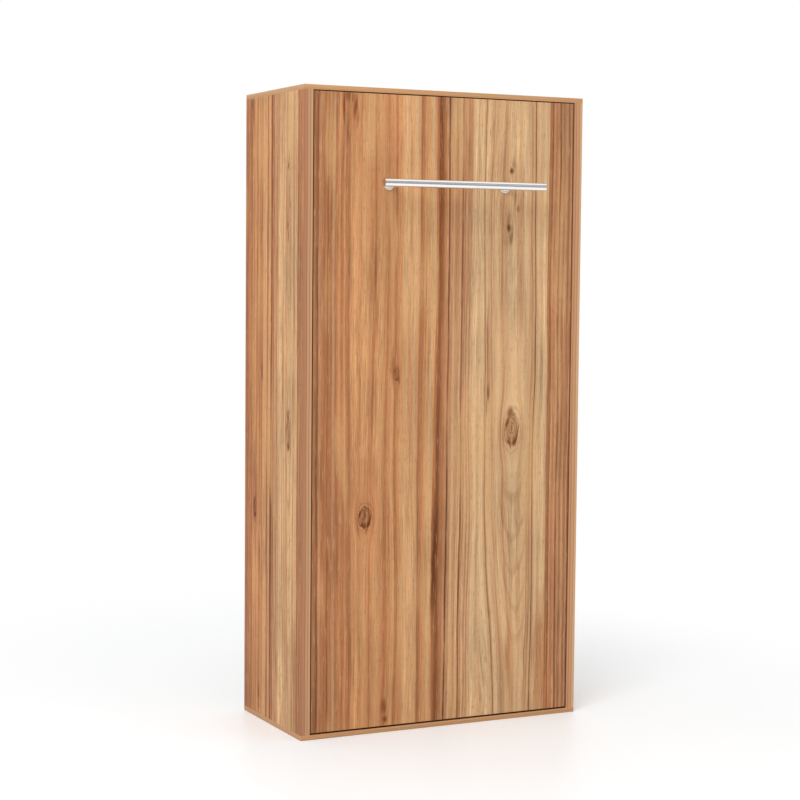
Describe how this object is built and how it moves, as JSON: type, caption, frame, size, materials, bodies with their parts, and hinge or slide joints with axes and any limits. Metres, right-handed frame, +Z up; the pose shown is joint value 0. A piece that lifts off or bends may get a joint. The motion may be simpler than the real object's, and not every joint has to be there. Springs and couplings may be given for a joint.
{
  "type": "vertical wall bed",
  "caption": "Tall wood-faced wall bed: the full-height front swings down on side pivots and a bar handle that becomes its leg.",
  "frame": {"origin": "centre of the cabinet's footprint, on the floor", "axes": "+X across the front to the viewer's right, -Y out of the front into the room, +Y to the wall, +Z up"},
  "size_m": [1.05, 0.645, 2.15],
  "materials": {
    "wood": "satin",
    "edging": "satin",
    "board_plain": "satin",
    "hardboard": "matte",
    "light_plastic": "satin",
    "beech": "matte",
    "birch_slat": "satin",
    "zinc": "satin",
    "plated_steel": "satin",
    "black_plastic": "satin",
    "spring_steel": "satin",
    "rubber": "matte",
    "frame_paint": "satin",
    "polished_steel": "gloss",
    "strut_paint": "gloss",
    "strut_chrome": "gloss",
    "mattress_fabric": "matte",
    "webbing": "matte"
  },
  "bodies": {
    "cabinet": {"side_panel_left": "wood", "side_panel_right": "wood", "top_board": "wood", "bottom_board": "wood", "side_edging": "edging", "top_board_edging": "edging", "bottom_board_edging": "edging", "back_panel_upper": "hardboard", "back_panel_lower": "hardboard", "back_joint_strip": "light_plastic", "back_rail_top": "board_plain", "back_rail_bottom": "board_plain", "rail_dowels": "beech", "carcass_screws": "zinc", "hinge_plate_left": "plated_steel", "hinge_plate_right": "plated_steel", "hinge_plate_screws": "zinc", "pivot_pin_left": "zinc", "pivot_pin_right": "zinc", "pivot_spacers": "black_plastic", "pivot_clips": "spring_steel", "strut_studs": "zinc", "stop_brackets": "plated_steel", "stop_buffers": "rubber", "stop_screws": "zinc"},
    "bed": {"front_panel": "wood", "front_panel_edging": "edging", "panel_screws": "zinc", "side_rail_left": "frame_paint", "side_rail_right": "frame_paint", "head_rail": "frame_paint", "foot_rail": "frame_paint", "cross_rail_upper": "frame_paint", "cross_rail_middle": "frame_paint", "cross_rail_lower": "frame_paint", "rail_end_caps": "black_plastic", "lever_left": "plated_steel", "lever_right": "plated_steel", "lever_bolts": "zinc", "lever_nuts": "zinc", "pivot_bushes": "light_plastic", "slats": "birch_slat", "slat_shoes": "black_plastic", "mattress": "mattress_fabric", "mattress_bow": "frame_paint", "bow_screws": "zinc", "straps": "webbing", "strap_rivets": "zinc", "strap_buckles": "black_plastic", "handle_bar": "polished_steel", "handle_bar_caps": "polished_steel", "handle_posts": "polished_steel", "handle_flanges": "polished_steel", "handle_bolts": "zinc"},
    "strut_barrel_left": {"strut_barrel_left": "strut_paint"},
    "strut_rod_left": {"strut_rod_left": "strut_chrome", "strut_pin_left": "zinc"},
    "strut_barrel_right": {"strut_barrel_right": "strut_paint"},
    "strut_rod_right": {"strut_rod_right": "strut_chrome", "strut_pin_right": "zinc"}
  },
  "joints": [
    {"name": "bed_fold", "type": "hinge", "parent": "cabinet", "child": "bed", "pos_m": [0, -0.218, 0.178], "axis": [1, 0, 0], "range_deg": [0, 90], "stiffness_Nm_per_rad": 300},
    {"name": "strut_left_tilt", "type": "hinge", "parent": "cabinet", "child": "strut_barrel_left", "pos_m": [-0.478, -0.168, 0.376], "axis": [1, 0, 0], "range_deg": [0, 27.6]},
    {"name": "strut_left_slide", "type": "slide", "parent": "strut_barrel_left", "child": "strut_rod_left", "axis": [0, -0.1248, -0.9922], "range_m": [-0.1199, 0]},
    {"name": "strut_right_tilt", "type": "hinge", "parent": "cabinet", "child": "strut_barrel_right", "pos_m": [0.478, -0.168, 0.376], "axis": [1, 0, 0], "range_deg": [0, 27.6]},
    {"name": "strut_right_slide", "type": "slide", "parent": "strut_barrel_right", "child": "strut_rod_right", "axis": [0, -0.1248, -0.9922], "range_m": [-0.1199, 0]}
  ],
  "couplings": [
    {"joint": "strut_left_tilt", "follows": "bed_fold", "ratio": 0.30657},
    {"joint": "strut_left_slide", "follows": "bed_fold", "m_per_rad": -0.076329},
    {"joint": "strut_right_tilt", "follows": "bed_fold", "ratio": 0.30657},
    {"joint": "strut_right_slide", "follows": "bed_fold", "m_per_rad": -0.076329}
  ]
}
